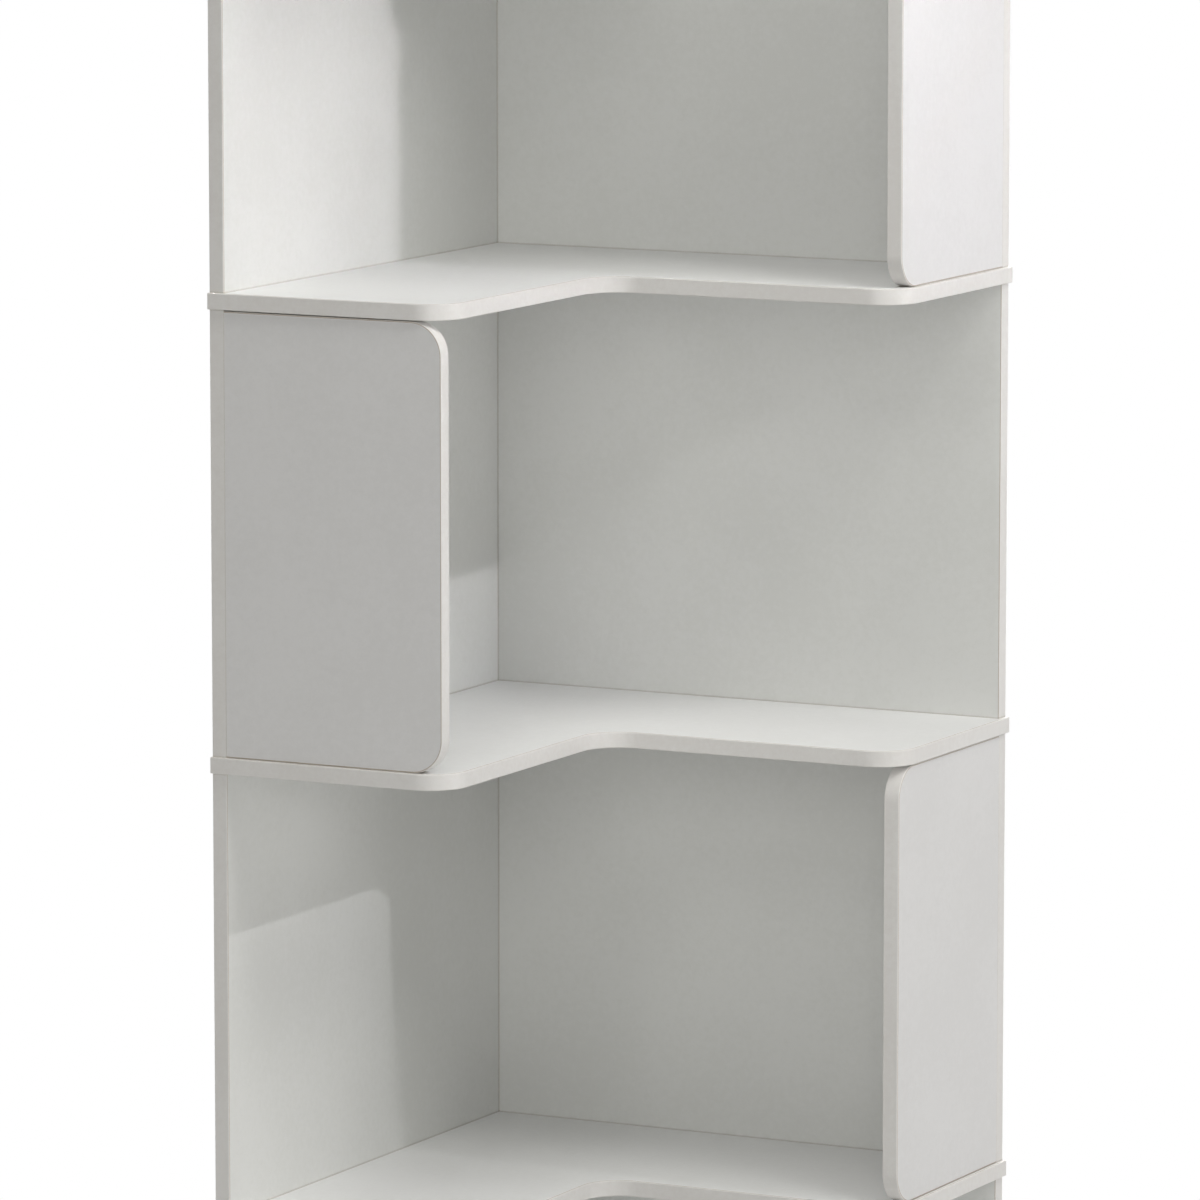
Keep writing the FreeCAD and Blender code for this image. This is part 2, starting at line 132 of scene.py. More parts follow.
def makeFacingGroup():
    inputs = [("Vector", vectorSocket, None), ("Peel Scale", numberSocket, None),
              ("Cloud Scale", numberSocket, None)]
    outputs = [(label, numberSocket) for label in ("Peel", "Cloud", "Smudge", "Tone")]
    tree, enter, leave = newGroup("pressedFacing", "ShaderNodeTree", inputs, outputs)
    place = enter["Vector"]
    peel = addNoise(tree, place, Scale=enter["Peel Scale"], **facingTexture["peel"])
    cloud = addNoise(tree, place, Scale=enter["Cloud Scale"], **facingTexture["cloud"])
    smudge = addNoise(tree, place, **facingTexture["smudge"])
    fleck = addNoise(tree, place, **facingTexture["fleck"])
    shade = spread(tree, cloud, 0, 1, *facingTexture["cloudRange"])
    tone = calc(tree, "ADD", shade, spread(tree, fleck, *facingTexture["fleckRange"]))
    for label, value in (("Peel", peel), ("Cloud", cloud), ("Smudge", smudge), ("Tone", tone)):
        tree.links.new(value, leave[label])
    return tree


sideLimit = 0.5  # narrow sides look less than this far along the board's thickness


def makeCutEdgeGroup():
    # 1 on the narrow sides of a board, 0 on its two faces
    inputs = [("Normal", vectorSocket, None), ("Across", vectorSocket, None)]
    tree, enter, leave = newGroup("boardSides", "ShaderNodeTree", inputs, [("Side", numberSocket)])
    feeds = {0: enter["Normal"], 1: enter["Across"]}
    along = addNode(tree, "ShaderNodeVectorMath", feeds, operation="DOT_PRODUCT").outputs["Value"]
    side = calc(tree, "LESS_THAN", calc(tree, "ABSOLUTE", along), sideLimit)
    tree.links.new(side, leave["Side"])
    return tree


metalTexture = {
    "grainDetail": 3.0, "grainStrength": 0.15, "grainDepth": 0.05 * mm,
    "stainScale": 260.0, "stainDetail": 2.0, "stainRange": (0.3, 0.7),
}


def makeScratchGroup():
    inputs = [("Vector", vectorSocket, None), ("Grain Scale", numberSocket, None)]
    outputs = [("Grain", numberSocket), ("Stain", numberSocket)]
    tree, enter, leave = newGroup("handledMetal", "ShaderNodeTree", inputs, outputs)
    place = enter["Vector"]
    grain = addNoise(tree, place, Scale=enter["Grain Scale"], Detail=metalTexture["grainDetail"])
    stain = addNoise(tree, place, Scale=metalTexture["stainScale"], Detail=metalTexture["stainDetail"])
    tree.links.new(grain, leave["Grain"])
    tree.links.new(stain, leave["Stain"])
    return tree


# painted shade in the corner where two pieces meet, darkened by occlusion, tinted brownish for a thin glue
# and dust line
jointShadeAndDust = {"colour": (0.34, 0.28, 0.20, 1), "strength": 0.5, "reach": 1.5 * mm, "samples": 4,
               "closed": 0.5, "open": 0.95}


def makeJointShadeGroup():
    # painted shade mask: 1 in the corner, 0 away from it
    inputs = [("Reach", numberSocket, jointShadeAndDust["reach"])]
    tree, enter, leave = newGroup("jointShade", "ShaderNodeTree", inputs, [("Joint", numberSocket)])
    near = addNode(tree, "ShaderNodeAmbientOcclusion", {"Distance": enter["Reach"]},
                   samples=jointShadeAndDust["samples"])
    joint = spread(tree, near.outputs["AO"], 1, 0, jointShadeAndDust["closed"], jointShadeAndDust["open"])
    tree.links.new(joint, leave["Joint"])
    return tree


facingGroup = makeFacingGroup()
cutEdgeGroup = makeCutEdgeGroup()
scratchGroup = makeScratchGroup()
jointShadeGroup = makeJointShadeGroup()


def newMaterial(name, **constants):
    material = bpy.data.materials.new(name)
    material.use_nodes = True
    tree = material.node_tree
    shader = tree.nodes["Principled BSDF"]
    for label, value in constants.items():
        shader.inputs[label].default_value = value
    return material, tree, shader.inputs


def feedShader(tree, shader, colour, roughness, normal):
    tree.links.new(colour, shader["Base Color"])
    tree.links.new(roughness, shader["Roughness"])
    tree.links.new(normal, shader["Normal"])


def placeFacing(tree, values):
    feeds = {"Vector": objectPlace(tree), "Peel Scale": values["peelScale"],
             "Cloud Scale": values["cloudScale"]}
    return placeGroup(tree, facingGroup, feeds)


def finishFacing(tree, shader, colour, texture, values):
    roughness = spread(tree, texture["Smudge"], *values["rough"])
    normal = addBump(tree, texture["Peel"], values["peelStrength"], values["peelDepth"])
    feedShader(tree, shader, colour, roughness, normal)


# painted shade: the colour turns brownish-dark in the corners where pieces meet
def shadeJoints(tree, colour):
    joint = placeGroup(tree, jointShadeGroup, {})["Joint"]
    factor = calc(tree, "MULTIPLY", joint, jointShadeAndDust["strength"])
    return blendColours(tree, factor, colour, jointShadeAndDust["colour"])


# white pressed facing on the boards
boardFinish = {
    "light": (0.849, 0.853, 0.838, 1), "deep": (0.823, 0.827, 0.808, 1), "side": (0.815, 0.800, 0.785, 1),
    # painted light: the shelves use a lighter copy of the same white board, so their tops look more brightly
    # lit
    "shelfBrightenedLight": (0.895, 0.896, 0.896, 1), "shelfBrightenedDeep": (0.871, 0.872, 0.870, 1),
    # painted shade: the end panels use a slightly darker, faintly violet copy of the same white board
    "panelShadedLight": (0.842, 0.836, 0.840, 1), "panelShadedDeep": (0.816, 0.810, 0.812, 1),
    "peelScale": 620.0, "peelStrength": 0.10, "peelDepth": 0.12 * mm, "cloudScale": 9.0,
    "rough": (0.40, 0.52), "gloss": 0.2,
}


def makeBoardMaterial(name, across, light, deep):
    material, tree, shader = newMaterial(name, **{"Specular IOR Level": boardFinish["gloss"]})
    texture = placeFacing(tree, boardFinish)
    normal = addNode(tree, "ShaderNodeNewGeometry").outputs["Normal"]
    side = placeGroup(tree, cutEdgeGroup, {"Normal": normal, "Across": across})["Side"]
    face = blendColours(tree, texture["Tone"], deep, light)
    colour = shadeJoints(tree, blendColours(tree, side, face, boardFinish["side"]))
    finishFacing(tree, shader, colour, texture, boardFinish)
    return material


# plastic edging, a touch warmer than the facing, with a glue line where it meets the board
bandFinish = {
    "light": (0.850, 0.835, 0.820, 1), "deep": (0.820, 0.800, 0.782, 1), "glue": (0.46, 0.36, 0.29, 1),
    "peelScale": 900.0, "peelStrength": 0.06, "peelDepth": 0.1 * mm, "cloudScale": 9.0,
    "rough": (0.34, 0.46), "gloss": 0.35, "glueStrength": 0.85, "glueRange": (0.0, 0.45),
}


def makeBandMaterial():
    material, tree, shader = newMaterial("plasticEdging", **{"Specular IOR Level": bandFinish["gloss"]})
    texture = placeFacing(tree, bandFinish)
    seam = addNode(tree, "ShaderNodeAttribute", attribute_name="seam").outputs["Fac"]
    glue = spread(tree, seam, 0, bandFinish["glueStrength"], *bandFinish["glueRange"], ease="SMOOTHSTEP")
    strip = blendColours(tree, texture["Tone"], bandFinish["deep"], bandFinish["light"])
    colour = shadeJoints(tree, blendColours(tree, glue, strip, bandFinish["glue"]))
    finishFacing(tree, shader, colour, texture, bandFinish)
    return material


# beech dowels, grain along their upright axis
dowelFinish = {
    "light": (0.62, 0.43, 0.26, 1), "dark": (0.40, 0.24, 0.13, 1), "rough": (0.75, 0.6),
    "stretch": (900, 900, 45), "detail": 4.0, "grainRange": (0.3, 0.7), "grainStrength": 0.3,
    "grainDepth": 0.2 * mm,
}


def makeDowelMaterial():
    material, tree, shader = newMaterial("beechDowel")
    feeds = {"Vector": objectPlace(tree), "Scale": dowelFinish["stretch"]}
    stretched = addNode(tree, "ShaderNodeMapping", feeds).outputs[0]
    grain = addNoise(tree, stretched, Scale=1.0, Detail=dowelFinish["detail"])
    shade = spread(tree, grain, 0, 1, *dowelFinish["grainRange"])
    colour = blendColours(tree, shade, dowelFinish["dark"], dowelFinish["light"])
    roughness = spread(tree, shade, *dowelFinish["rough"])
    normal = addBump(tree, shade, dowelFinish["grainStrength"], dowelFinish["grainDepth"])
    feedShader(tree, shader, colour, roughness, normal)
    return material


# bolts and screws are plated steel, cams are cast zinc
metalFinishes = {
    "platedSteel": {"light": (0.58, 0.58, 0.58, 1), "dark": (0.40, 0.40, 0.39, 1), "rough": (0.22, 0.40),
                    "grainScale": 1800.0},
    "castZinc": {"light": (0.40, 0.40, 0.39, 1), "dark": (0.25, 0.25, 0.245, 1), "rough": (0.38, 0.55),
                 "grainScale": 1100.0},
}


def makeMetalMaterial(name):
    values = metalFinishes[name]
    material, tree, shader = newMaterial(name, Metallic=1.0)
    feeds = {"Vector": objectPlace(tree), "Grain Scale": values["grainScale"]}
    texture = placeGroup(tree, scratchGroup, feeds)
    stain = spread(tree, texture["Stain"], 0, 1, *metalTexture["stainRange"])
    colour = blendColours(tree, stain, values["dark"], values["light"])
    roughness = spread(tree, texture["Grain"], *values["rough"])
    normal = addBump(tree, texture["Grain"], metalTexture["grainStrength"], metalTexture["grainDepth"])
    feedShader(tree, shader, colour, roughness, normal)
    return material


# moulded plastic of the glides
glideFinish = {
    "light": (0.80, 0.80, 0.78, 1), "dark": (0.71, 0.71, 0.69, 1), "rough": (0.45, 0.6),
    "peelScale": 1300.0, "peelStrength": 0.2, "peelDepth": 0.1 * mm, "cloudScale": 120.0,
}


def makeGlideMaterial():
    material, tree, shader = newMaterial("glidePlastic")
    texture = placeFacing(tree, glideFinish)
    colour = blendColours(tree, texture["Cloud"], glideFinish["dark"], glideFinish["light"])
    finishFacing(tree, shader, colour, texture, glideFinish)
    return material


# walls and panels have one material for each direction of their thickness
acrossBoard = {"X": (1, 0, 0), "Y": (0, 1, 0)}
wallMaterials = {}
shadedPanelMaterials = {}
for axis, across in acrossBoard.items():
    wallMaterials[axis] = makeBoardMaterial(f"whiteWall{axis}", across, boardFinish["light"],
                                            boardFinish["deep"])
    # painted shade: the end panels get the darker copy of the white board
    shadedPanelMaterials[axis] = makeBoardMaterial(f"whitePanelPaintedShade{axis}", across, boardFinish["panelShadedLight"],
                                             boardFinish["panelShadedDeep"])
# painted light: the shelves get the lighter copy of the white board
brightenedShelfMaterial = makeBoardMaterial("whiteShelfPaintedLight", (0, 0, 1), boardFinish["shelfBrightenedLight"],
                                  boardFinish["shelfBrightenedDeep"])
bandMaterial = makeBandMaterial()
dowelMaterial = makeDowelMaterial()
steelMaterial = makeMetalMaterial("platedSteel")
zincMaterial = makeMetalMaterial("castZinc")
glideMaterial = makeGlideMaterial()
print("materials made")


# boards and hidden fasteners keep their own solids and get a finish
def dress(name, material):
    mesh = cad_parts[name].data
    mesh.materials.clear()
    mesh.materials.append(material)


for name in shelfNames:
    dress(name, brightenedShelfMaterial)
for name in wallNames:
    dress(name, wallMaterials["X" if name.startswith("left") else "Y"])
for name in panelNames:
    dress(name, shadedPanelMaterials["Y" if name.startswith("left") else "X"])
for name in ("through_dowels", "blind_dowels"):
    dress(name, dowelMaterial)
for name in ("double_ended_bolts", "end_bolts"):
    dress(name, steelMaterial)
print("boards and hidden fasteners finished")

creaseAngle = math.radians(38)


# geometry node trees: every size is a named input
def openTree(name, sizes):
    inputs = [("Geometry", meshSocket, None)]
    for label, value in sizes.items():
        inputs.append((label, countSocket if isinstance(value, int) else numberSocket, value))
    inputs.append(("Material", materialSocket, None))
    return newGroup(name, "GeometryNodeTree", inputs, [("Geometry", meshSocket)])


def closeTree(tree, geometry, enter, leave):
    real = addNode(tree, "GeometryNodeRealizeInstances", {"Geometry": geometry})
    feeds = {"Geometry": real.outputs[0], "Material": enter["Material"]}
    done = addNode(tree, "GeometryNodeSetMaterial", feeds)
    tree.links.new(done.outputs[0], leave["Geometry"])


def smoothByAngle(tree, geometry):
    feeds = {"Geometry": geometry, "Shade Smooth": True}
    smooth = addNode(tree, "GeometryNodeSetShadeSmooth", feeds, domain="FACE")
    bend = addNode(tree, "GeometryNodeInputMeshEdgeAngle").outputs["Unsigned Angle"]
    crease = addNode(tree, "FunctionNodeCompare", {0: bend, 1: creaseAngle}, operation="GREATER_THAN",
                     data_type="FLOAT")
    feeds = {"Geometry": smooth.outputs[0], "Selection": crease.outputs[0], "Shade Smooth": False}
    return addNode(tree, "GeometryNodeSetShadeSmooth", feeds, domain="EDGE").outputs[0]


def runTree(name, mesh, tree, values):
    piece = bpy.data.objects.new(name, mesh)
    bpy.context.scene.collection.objects.link(piece)
    modifier = piece.modifiers.new("build", "NODES")
    modifier.node_group = tree
    for item in tree.interface.items_tree:
        if item.in_out == "INPUT" and item.name in values:
            modifier[item.identifier] = values[item.name]
    even = piece.modifiers.new("evenNormals", "WEIGHTED_NORMAL")
    even.keep_sharp = True
    graph = bpy.context.evaluated_depsgraph_get()
    made = bpy.data.meshes.new_from_object(piece.evaluated_get(graph), preserve_all_data_layers=True,
                                           depsgraph=graph)
    piece.modifiers.clear()
    piece.data = made
    made.name = name
    return piece


def fix(piece, node):
    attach(piece, "root")
    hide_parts(node)


# edging: a strip with rounded outer arrises that follows the rim of a board
edging = {"Thickness": 1.0 * mm, "Height": unit["board"], "Arris": 0.8 * mm, "Seam Width": 0.6 * mm,
          "Corner Steps": 18, "Arris Steps": 5}
rims = {"shelfCorner": 29.0 * mm, "innerCorner": 29.0 * mm, "panelCorner": 25.0 * mm}
half = edging["Thickness"] / 2


def makeEdgingTree():
    tree, enter, leave = openTree("edging", edging)
    path = addNode(tree, "GeometryNodeMeshToCurve", {"Mesh": enter["Geometry"]})
    upright = addNode(tree, "GeometryNodeSetCurveNormal", {"Curve": path.outputs[0]}, mode="Z_UP")
    radius = addNode(tree, "GeometryNodeInputNamedAttribute", {"Name": "cornerRadius"}, data_type="FLOAT")
    feeds = {"Curve": upright.outputs[0], "Count": enter["Corner Steps"], "Radius": radius.outputs[0],
             "Limit Radius": True}
    rounded = addNode(tree, "GeometryNodeFilletCurve", feeds, mode="POLY")

    # in the strip's section positive x is the outside, and the glue seam is on the other side
    section = addNode(tree, "GeometryNodeCurvePrimitiveQuadrilateral",
                      {"Width": enter["Thickness"], "Height": enter["Height"]})
    place = addNode(tree, "GeometryNodeInputPosition").outputs[0]
    across = addNode(tree, "ShaderNodeSeparateXYZ", {0: place}).outputs[0]
    outer = calc(tree, "GREATER_THAN", across, 0.0)
    feeds = {"Curve": section.outputs[0], "Count": enter["Arris Steps"],
             "Radius": calc(tree, "MULTIPLY", outer, enter["Arris"])}
    eased = addNode(tree, "GeometryNodeFilletCurve", feeds, mode="POLY")
    joint = calc(tree, "MULTIPLY", enter["Thickness"], -0.5)
    near = spread(tree, across, 1, 0, joint, calc(tree, "ADD", joint, enter["Seam Width"]))
    feeds = {"Geometry": eased.outputs[0], "Name": "seam", "Value": near}
    marked = addNode(tree, "GeometryNodeStoreNamedAttribute", feeds, data_type="FLOAT", domain="POINT")
    feeds = {"Curve": rounded.outputs[0], "Profile Curve": marked.outputs[0], "Fill Caps": True}
    strip = addNode(tree, "GeometryNodeCurveToMesh", feeds)
    closeTree(tree, smoothByAngle(tree, strip.outputs[0]), enter, leave)
    return tree


edgingTree = makeEdgingTree()


# the path runs with the outside of the rim on its right, in the flat plane of the board
def makeEdging(name, node, corners, matrix):
    mesh = bpy.data.meshes.new(name)
    points = [(x, y, 0) for x, y, radius in corners]
    mesh.from_pydata(points, [(step, step + 1) for step in range(len(points) - 1)], [])
    bends = mesh.attributes.new("cornerRadius", "FLOAT", "POINT")
    for item, (x, y, radius) in zip(bends.data, corners):
        item.value = radius
    piece = runTree(name, mesh, edgingTree, {**edging, "Material": bandMaterial})
    piece.data.transform(matrix)
    fix(piece, node)


def turnInto(right, up, outward, place):
    columns = Matrix((right, up, outward)).transposed()
    return Matrix.Translation(place) @ columns.to_4x4()


for level, name in enumerate(shelfNames, 1):
    low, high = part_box(name + "_edge_band")
    convex = rims["shelfCorner"] - half
    hollow = rims["innerCorner"] + half
    corners = ((rear, rear + half, 0), (front - half, rear + half, convex),
               (front - half, half - front, hollow), (end - half, half - front, convex),
               (end - half, end, 0))
    matrix = Matrix.Translation((0, 0, (low.z + high.z) / 2))
    makeEdging(f"shelfEdging{level}", name + "_edge_band", corners, matrix)
print("shelf edging made")

for name in panelNames:
    low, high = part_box(name + "_edge_band")
    middle = (low + high) / 2
    width = unit["depth"] - unit["board"] - unit["setback"]
    height = high.z - low.z
    bend = rims["panelCorner"] - half
    corners = ((0, half, 0), (width - half, half, bend), (width - half, height - half, bend),
               (0, height - half, 0))
    if name.startswith("left"):
        matrix = turnInto((1, 0, 0), (0, 0, 1), (0, -1, 0), (low.x, middle.y, low.z))
    else:
        matrix = turnInto((0, -1, 0), (0, 0, 1), (-1, 0, 0), (middle.x, high.y, low.z))
    makeEdging("panelEdging" + name[-1], name + "_edge_band", corners, matrix)
print("end panel edging made")

for name in wallNames:
    low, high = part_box(name + "_edge_band")
    middle = (low + high) / 2
    corners = ((0, 0, 0), (high.z - low.z, 0, 0))
    if name.startswith("left"):
        matrix = turnInto((0, 0, 1), (0, 1, 0), (-1, 0, 0), (middle.x, middle.y, low.z))
    else:
        matrix = turnInto((0, 0, 1), (-1, 0, 0), (0, -1, 0), (middle.x, middle.y, low.z))
    side = name.split("_")[0]
    makeEdging(f"{side}WallEdging{name[-1]}", name + "_edge_band", corners, matrix)
print("wall edging made")


# turned pieces: radius and height of each step from the lowest up
def turnedShape(tree, sides, steps):
    (radius, height), (nextRadius, nextHeight) = steps[:2]
    feeds = {"Vertices": sides, "Radius Bottom": radius, "Radius Top": nextRadius,
             "Depth": calc(tree, "SUBTRACT", nextHeight, height)}
    cone = addNode(tree, "GeometryNodeMeshCone", feeds)
    mesh = cone.outputs["Mesh"]
    top = cone.outputs["Top"]
    for (radius, height), (nextRadius, nextHeight) in zip(steps[1:], steps[2:]):
        rise = addNode(tree, "ShaderNodeCombineXYZ", {2: calc(tree, "SUBTRACT", nextHeight, height)})
        feeds = {"Mesh": mesh, "Selection": top, "Offset": rise.outputs[0], "Individual": False}
        grown = addNode(tree, "GeometryNodeExtrudeMesh", feeds, mode="FACES")
        top = grown.outputs["Top"]
        feeds = {"Geometry": grown.outputs["Mesh"], "Selection": top,
                 "Scale": calc(tree, "DIVIDE", nextRadius, radius)}
        mesh = addNode(tree, "GeometryNodeScaleElements", feeds, domain="FACE").outputs[0]
    return mesh


def cutCross(tree, mesh, enter):
    width = enter["Recess Width"]
    span = enter["Recess Span"]
    deep = calc(tree, "MULTIPLY", enter["Recess Depth"], 2.0)  # half of each bar stands clear of the head
    cut = addNode(tree, "GeometryNodeMeshBoolean", {"Mesh 1": mesh}, operation="DIFFERENCE", solver="EXACT")
    for first, second in ((width, span), (span, width)):
        size = addNode(tree, "ShaderNodeCombineXYZ", {0: first, 1: second, 2: deep})
        bar = addNode(tree, "GeometryNodeMeshCube", {"Size": size.outputs[0]})
        tree.links.new(bar.outputs[0], cut.inputs["Mesh 2"])
    return cut.outputs[0]


def scatter(tree, mesh, enter, leave):
    turn = addNode(tree, "GeometryNodeInputNamedAttribute", {"Name": "turn"}, data_type="FLOAT_VECTOR")
    spin = addNode(tree, "FunctionNodeEulerToRotation", {"Euler": turn.outputs[0]})
    feeds = {"Points": enter["Geometry"], "Instance": smoothByAngle(tree, mesh), "Rotation": spin.outputs[0]}
    copies = addNode(tree, "GeometryNodeInstanceOnPoints", feeds)
    closeTree(tree, copies.outputs[0], enter, leave)


def radiusOf(tree, diameter):
    return calc(tree, "MULTIPLY", diameter, 0.5)


camSizes = {"Diameter": 12 * mm, "Length": 9.7 * mm, "Bevel": 0.35 * mm, "Recess Width": 1.4 * mm,
            "Recess Span": 7 * mm, "Recess Depth": 1.5 * mm, "Sides": 48}


def makeCamTree():
    tree, enter, leave = openTree("camLock", camSizes)
    radius = radiusOf(tree, enter["Diameter"])
    rim = calc(tree, "SUBTRACT", radius, enter["Bevel"])
    steps = [(rim, 0.0), (radius, enter["Bevel"]), (radius, enter["Length"])]
    body = turnedShape(tree, enter["Sides"], steps)
    scatter(tree, cutCross(tree, body, enter), enter, leave)
    return tree


screwSizes = {"Head": 6.8 * mm, "Shank": 3.5 * mm, "Tip": 0.35 * mm, "Length": 45 * mm, "Point": 5 * mm,
              "Recess Width": 0.9 * mm, "Recess Span": 3.4 * mm, "Recess Depth": 1 * mm, "Sides": 32}


def makeScrewTree():
    tree, enter, leave = openTree("countersunkScrew", screwSizes)
    head = radiusOf(tree, enter["Head"])
    shank = radiusOf(tree, enter["Shank"])
    tip = radiusOf(tree, enter["Tip"])
    slope = calc(tree, "SUBTRACT", head, shank)
    straight = calc(tree, "SUBTRACT", enter["Length"], enter["Point"])
    steps = [(head, 0.0), (shank, slope), (shank, straight), (tip, enter["Length"])]
    body = turnedShape(tree, enter["Sides"], steps)
    scatter(tree, cutCross(tree, body, enter), enter, leave)
    return tree


glideSizes = {"Diameter": 24 * mm, "Height": 5 * mm, "Bevel": 1.5 * mm, "Peg": 8 * mm, "Peg Length": 7 * mm,
              "Sides": 48}


def makeGlideTree():
    tree, enter, leave = openTree("glide", glideSizes)
    radius = radiusOf(tree, enter["Diameter"])
    foot = calc(tree, "SUBTRACT", radius, enter["Bevel"])
    peg = radiusOf(tree, enter["Peg"])
    height = enter["Height"]
    top = calc(tree, "ADD", height, enter["Peg Length"])
    steps = [(foot, 0.0), (radius, enter["Bevel"]), (radius, height), (peg, height), (peg, top)]
    scatter(tree, turnedShape(tree, enter["Sides"], steps), enter, leave)
    return tree


# facing turns put a piece's own z axis into a wall from its rear, or straight up
quarterTurn = math.radians(90)
facings = {"left": Matrix.Rotation(quarterTurn, 3, "Y"), "back": Matrix.Rotation(quarterTurn, 3, "X"),
           "up": Matrix.Identity(3)}


def scatterPiece(name, node, tree, sizes, spots, material):
    mesh = bpy.data.meshes.new(name)
    mesh.from_pydata([place for place, facing, spin in spots], [], [])
    turns = mesh.attributes.new("turn", "FLOAT_VECTOR", "POINT")
    for item, (place, facing, spin) in zip(turns.data, spots):
        item.vector = (facings[facing] @ Matrix.Rotation(spin, 3, "Z")).to_euler()
    fix(runTree(name, mesh, tree, {**sizes, "Material": material}), node)


def onWall(side, along, depth, height):
    # along is from the room corner, depth in from the rear face
    if side == "left":
        return (rear + depth, -rear - along, height)
    return (rear + along, -rear - depth, height)


# where the fasteners and glides sit, and how far their recesses are turned
fastenerPlan = {"camAlong": 68 * mm, "camEdge": 24 * mm, "camSink": 0.3 * mm, "screwEdge": 62 * mm,
                "glideInset": 36 * mm, "seed": 7, "cornerSpin": 0.7}
wallEnd = unit["wing"] - unit["overhang"]
midBoard = unit["board"] / 2
spinner = random.Random(fastenerPlan["seed"])
camSpots = []
cornerSpots = []
panelSpots = []
for name in wallNames:
    low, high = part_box(name)
    side = name.split("_")[0]
    for along in (fastenerPlan["camAlong"], wallEnd - fastenerPlan["camAlong"]):
        for height in (low.z + fastenerPlan["camEdge"], high.z - fastenerPlan["camEdge"]):
            place = onWall(side, along, fastenerPlan["camSink"], height)
            camSpots.append((place, side, spinner.uniform(0, math.pi)))
for name in panelNames:
    low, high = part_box(name + "_edge_band")
    side = "left" if name.startswith("left") else "back"
    edge = fastenerPlan["screwEdge"]
    for height in (low.z + edge, (low.z + high.z) / 2, high.z - edge):
        spin = spinner.uniform(0, math.pi)
        panelSpots.append((onWall(side, wallEnd - midBoard, 0, height), side, spin))
        cornerSpots.append((onWall("back", midBoard, 0, height), "back", spin + fastenerPlan["cornerSpin"]))

# glides at the corners of the L, measured from the room corner
near = fastenerPlan["glideInset"]
inner = unit["depth"] - near
far = unit["wing"] - near
glidePlan = ((near, near), (far, near), (far, inner), (inner, inner), (inner, far), (near, far))
glideSpots = [((rear + x, -rear - y, 0), "up", 0.0) for x, y in glidePlan]

camTree = makeCamTree()
screwTree = makeScrewTree()
glideTree = makeGlideTree()
scatterPiece("camLocks", "cam_locks", camTree, camSizes, camSpots, zincMaterial)
scatterPiece("cornerScrews", "corner_screws", screwTree, screwSizes, cornerSpots, steelMaterial)
scatterPiece("panelScrews", "panel_screws", screwTree, screwSizes, panelSpots, steelMaterial)
scatterPiece("glides", "glides", glideTree, glideSizes, glideSpots, glideMaterial)
print("cams, screws and glides made")

white = (1, 1, 1, 1)
warm = (1.0, 0.995, 0.955)


def seenRay(tree):
    light = addNode(tree, "ShaderNodeLightPath").outputs
    seen = calc(tree, "MAXIMUM", light["Is Camera Ray"], light["Is Glossy Ray"])
    return calc(tree, "MAXIMUM", seen, light["Is Transmission Ray"])


# pale floor that keeps the shadow near the unit and turns white further out
floorPlan = {
    "size": 14.0, "colour": (0.80, 0.80, 0.80, 1), "dimColour": (0.776, 0.776, 0.776, 1), "rough": 0.9,
    "grainScale": 3.0, "grainDetail": 3.0, "fadeRange": (0.4, 1.5), "fadeLeast": 0.35,
}


def makeFloor():
    side = floorPlan["size"] / 2
    corners = [(-side, -side, 0), (side, -side, 0), (side, side, 0), (-side, side, 0)]
    mesh = bpy.data.meshes.new("floor")
    mesh.from_pydata(corners, [], [(0, 1, 2, 3)])
    floor = bpy.data.objects.new("floor", mesh)
    bpy.context.scene.collection.objects.link(floor)
    material, tree, shader = newMaterial("paleFloor", Roughness=floorPlan["rough"])
    place = objectPlace(tree)
    grain = addNoise(tree, place, Scale=floorPlan["grainScale"], Detail=floorPlan["grainDetail"])
    colour = blendColours(tree, grain, floorPlan["dimColour"], floorPlan["colour"])
    tree.links.new(colour, shader["Base Color"])
    reach = addNode(tree, "ShaderNodeVectorMath", {0: place}, operation="LENGTH").outputs["Value"]
    fade = spread(tree, reach, floorPlan["fadeLeast"], 1, *floorPlan["fadeRange"], ease="SMOOTHSTEP")
    glow = addNode(tree, "ShaderNodeEmission", {"Color": white, "Strength": 1.0})
    seen = calc(tree, "MULTIPLY", fade, seenRay(tree))
    feeds = {0: seen, 1: tree.nodes["Principled BSDF"].outputs[0], 2: glow.outputs[0]}
    mix = addNode(tree, "ShaderNodeMixShader", feeds)
    tree.links.new(mix.outputs[0], tree.nodes["Material Output"].inputs["Surface"])
    mesh.materials.append(material)


# a faint warm fill that is seen as white
worldPlan = {"colour": (*warm, 1), "strength": 0.022}


def makeWorld():
    world = bpy.data.worlds.new("studio")
    bpy.context.scene.world = world
    world.use_nodes = True
    tree = world.node_tree
    soft = tree.nodes["Background"]
    soft.inputs["Color"].default_value = worldPlan["colour"]
    soft.inputs["Strength"].default_value = worldPlan["strength"]
    plain = addNode(tree, "ShaderNodeBackground", {"Color": white, "Strength": 1.0})
    mix = addNode(tree, "ShaderNodeMixShader", {0: seenRay(tree), 1: soft.outputs[0], 2: plain.outputs[0]})
    tree.links.new(mix.outputs[0], tree.nodes["World Output"].inputs["Surface"])


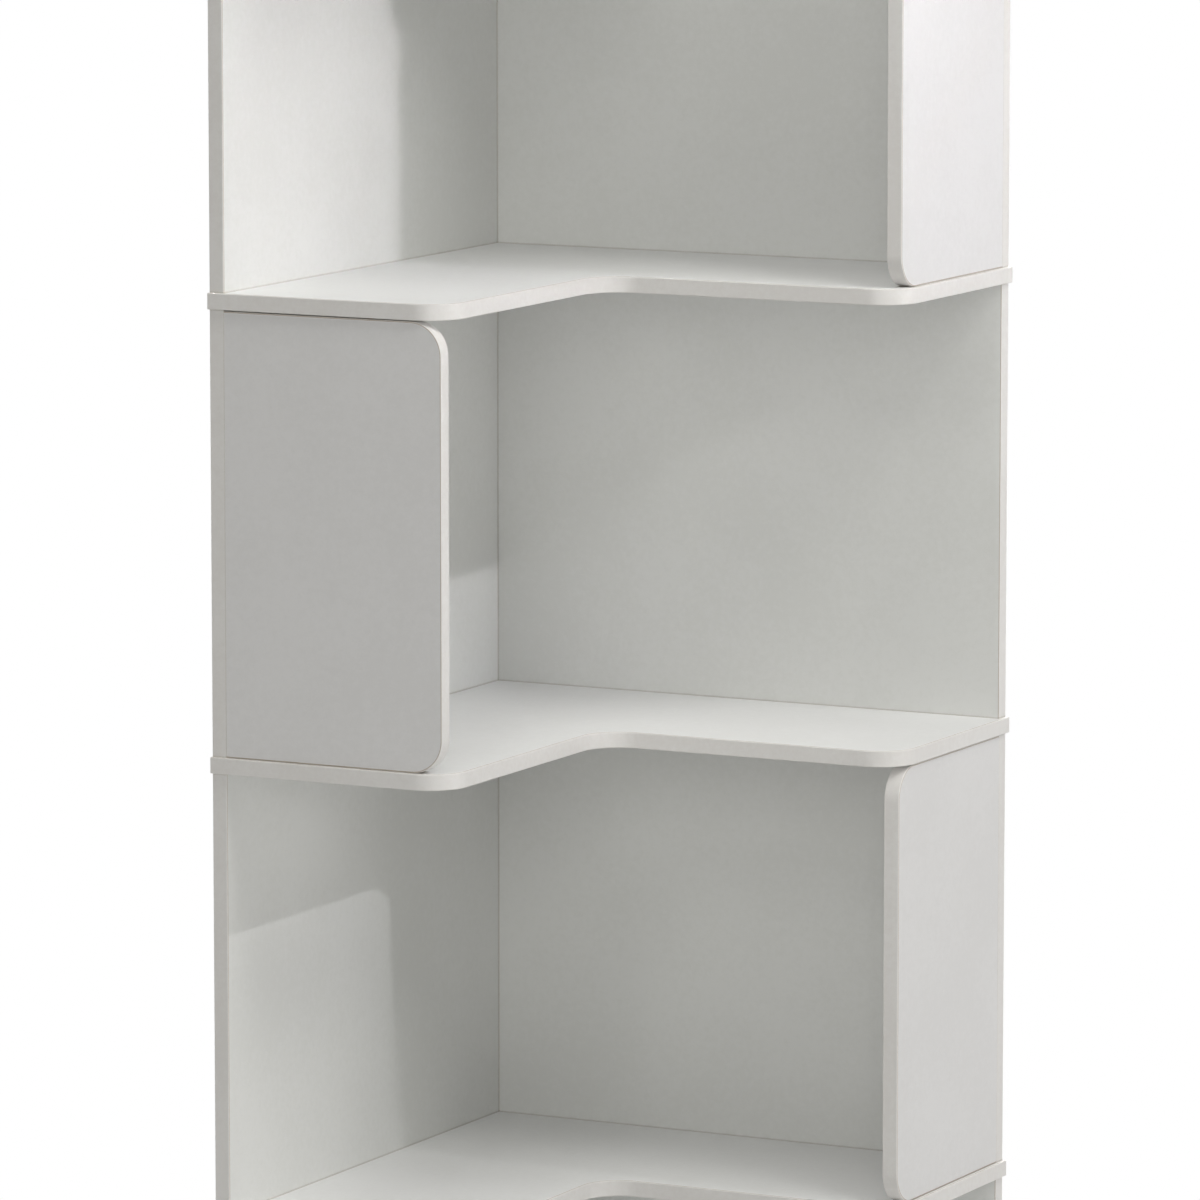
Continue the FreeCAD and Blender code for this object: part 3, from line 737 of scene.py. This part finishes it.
# two small lamps at the right cast the sharp shadows, and larger ones fill in from all sides
lampDefaults = {"aim": (0, 0, 0.8), "spread": 180, "colour": warm}  # spread in degrees
lamps = {
    "sideLamp": {"place": (2.09, -0.048, 2.07), "aim": (0, 0, 0.75), "size": (0.13, 0.04), "power": 6.1,
                 "colour": (1.0, 0.995, 0.985)},
    "narrowSideLamp": {"place": (2.09, -0.048, 2.07), "aim": (-0.2, 0, 1.2), "size": (0.13, 0.04),
                       "power": 0.37, "spread": 34, "colour": (0.97, 0.98, 1.04)},
    "highSideLamp": {"place": (1.5, -0.5, 2.8), "size": (0.8, 0.8), "power": 12.8},
    "lowSideLamp": {"place": (2.4, 0.5, 1.0), "size": (1.2, 1.2), "power": 8.8,
                    "colour": (1.0, 0.985, 0.97)},
    "raisedSideLamp": {"place": (1.6, 0.3, 2.4), "size": (0.5, 0.5), "power": 4.5,
                       "colour": (1.0, 0.99, 0.965)},
    "frontLamp": {"place": (1.85, -4.5, 2.05), "size": (2.0, 2.0), "power": 36.8},
    "highFrontLamp": {"place": (0.4, -2.2, 2.4), "size": (0.6, 0.6), "power": 4.5},
    "topLamp": {"place": (0.6, -1.8, 7.0), "size": (3.8, 3.8), "power": 122.0},
    "rearLamp": {"place": (-0.5, 3.4, 2.2), "size": (1.6, 1.6), "power": 56.0},
    "rearLeftLamp": {"place": (-3.4, 0.6, 2.2), "size": (1.6, 1.6), "power": 36.0},
}


def makeLamp(name, values):
    light = bpy.data.lights.new(name, "AREA")
    light.shape = "ELLIPSE"
    light.size, light.size_y = values["size"]
    light.energy = values["power"]
    light.color = values["colour"]
    light.spread = math.radians(values["spread"])
    lamp = bpy.data.objects.new(name, light)
    bpy.context.scene.collection.objects.link(lamp)
    lamp.location = values["place"]
    lamp.rotation_euler = (Vector(values["aim"]) - lamp.location).to_track_quat("-Z", "Y").to_euler()


makeFloor()
makeWorld()
for name, values in lamps.items():
    makeLamp(name, {**lampDefaults, **values})
print("studio made")

# a long lens at the front right, about as high as the unit: turn and tilt in degrees
viewpoint = {"place": (2.7215, -5.3591, 1.6477), "turn": 27.036, "tilt": 8.035, "lens": 246.5, "sensor": 36,
             "farthest": 100}
camera = bpy.data.objects.new("camera", bpy.data.cameras.new("camera"))
bpy.context.scene.collection.objects.link(camera)
camera.location = viewpoint["place"]
camera.rotation_euler = (math.radians(90 - viewpoint["tilt"]), 0, math.radians(viewpoint["turn"]))
camera.data.lens = viewpoint["lens"]
camera.data.sensor_width = viewpoint["sensor"]
camera.data.clip_end = viewpoint["farthest"]
bpy.context.scene.camera = camera
bpy.context.scene.view_settings.view_transform = "Standard"
print("camera set")
